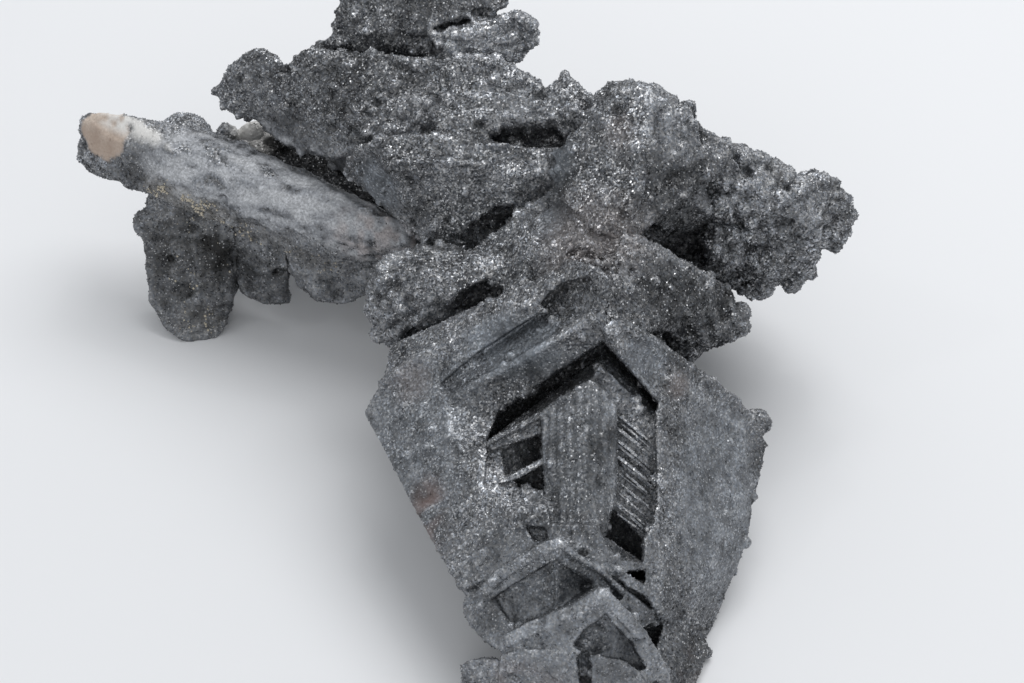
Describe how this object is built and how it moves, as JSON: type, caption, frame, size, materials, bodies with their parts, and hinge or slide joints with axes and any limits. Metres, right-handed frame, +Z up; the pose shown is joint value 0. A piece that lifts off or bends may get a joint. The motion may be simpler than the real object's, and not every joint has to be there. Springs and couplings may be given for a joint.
{
  "type": "hematite specimen",
  "caption": "Cluster of stacked, hollow-faced octahedral hematite crystals with a sparkling granular skin, leaning on small flats at its base.",
  "frame": {"origin": "middle of the bounding box in plan, on the surface the cluster rests on", "axes": "+X runs from the hanging left bar to the knobby right wing, +Y from the tip of the front crystal stack to the rear slabs, +Z up"},
  "size_m": [0.1596, 0.156, 0.0805],
  "materials": {
    "hematite": "dark steel-grey, granular and metallic, with bright grains"
  },
  "bodies": {
    "root": {"hematite_cluster": "hematite"}
  },
  "joints": []
}
